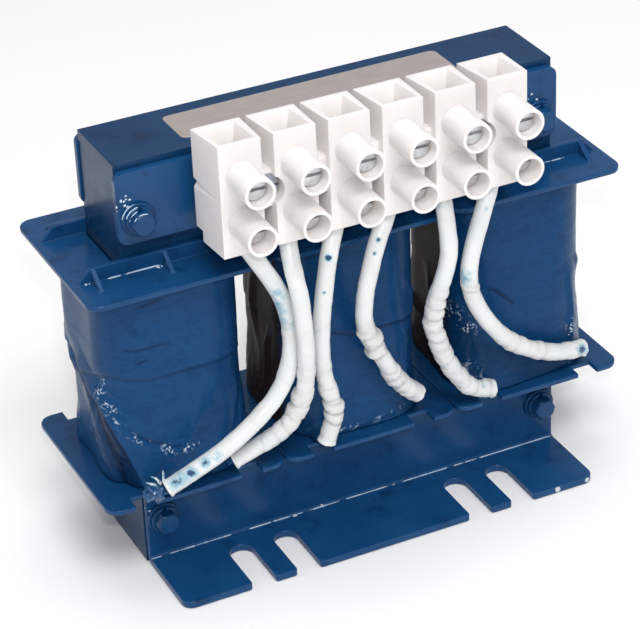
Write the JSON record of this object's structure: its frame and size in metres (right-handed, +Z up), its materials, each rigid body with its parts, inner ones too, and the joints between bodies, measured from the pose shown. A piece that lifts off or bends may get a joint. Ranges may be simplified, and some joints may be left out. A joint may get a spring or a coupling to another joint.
{
  "type": "line reactor",
  "caption": "Three-phase line reactor: laminated E-core with coils on bobbins, slotted foot angles, a screw terminal block in front and sleeved leads.",
  "frame": {"origin": "middle of the underside, level with the core's lower face and both feet", "axes": "+X along the row of three coils to the right as seen from the terminal block, +Y to the rear, +Z up"},
  "size_m": [0.1522, 0.0819, 0.1275],
  "materials": {
    "core": "blue insulating varnish over steel laminations, glossy on the faces",
    "spacer": "pressboard slip under clear varnish",
    "bobbin": "moulded nylon dipped in blue varnish",
    "winding": "enamelled copper wire",
    "wrap": "polyester film dipped in blue varnish, glossy with creases",
    "bracket": "steel sheet dipped in blue varnish",
    "fastener": "zinc-plated steel dipped in blue varnish",
    "block": "white moulded nylon, satin",
    "bar": "nickel-plated brass",
    "screw": "zinc-plated steel",
    "lead": "off-white varnished sleeve over stranded wire"
  },
  "bodies": {
    "root": {"core_e_stack": "core", "core_top_yoke": "core", "gap_spacer_left": "spacer", "bobbin_left": "bobbin", "winding_left": "winding", "coil_wrap_left": "wrap", "gap_spacer_centre": "spacer", "bobbin_centre": "bobbin", "winding_centre": "winding", "coil_wrap_centre": "wrap", "gap_spacer_right": "spacer", "bobbin_right": "bobbin", "winding_right": "winding", "coil_wrap_right": "wrap", "front_foot_bracket": "bracket", "rear_foot_bracket": "bracket", "front_clamp_plate": "bracket", "rear_clamp_plate": "bracket", "core_bolt_lower_left": "fastener", "core_bolt_lower_right": "fastener", "core_bolt_upper_left": "fastener", "core_bolt_upper_right": "fastener", "front_flat_washers": "fastener", "rear_flat_washers": "fastener", "front_lock_washers": "fastener", "core_nuts": "fastener", "terminal_block": "block", "terminal_bar_1": "bar", "terminal_bar_2": "bar", "terminal_bar_3": "bar", "terminal_bar_4": "bar", "terminal_bar_5": "bar", "terminal_bar_6": "bar", "clamp_screws_upper": "screw", "clamp_screws_lower": "screw", "block_mounting_screws": "screw", "lead_1": "lead", "lead_2": "lead", "lead_3": "lead", "lead_4": "lead", "lead_5": "lead", "lead_6": "lead"}
  },
  "joints": []
}
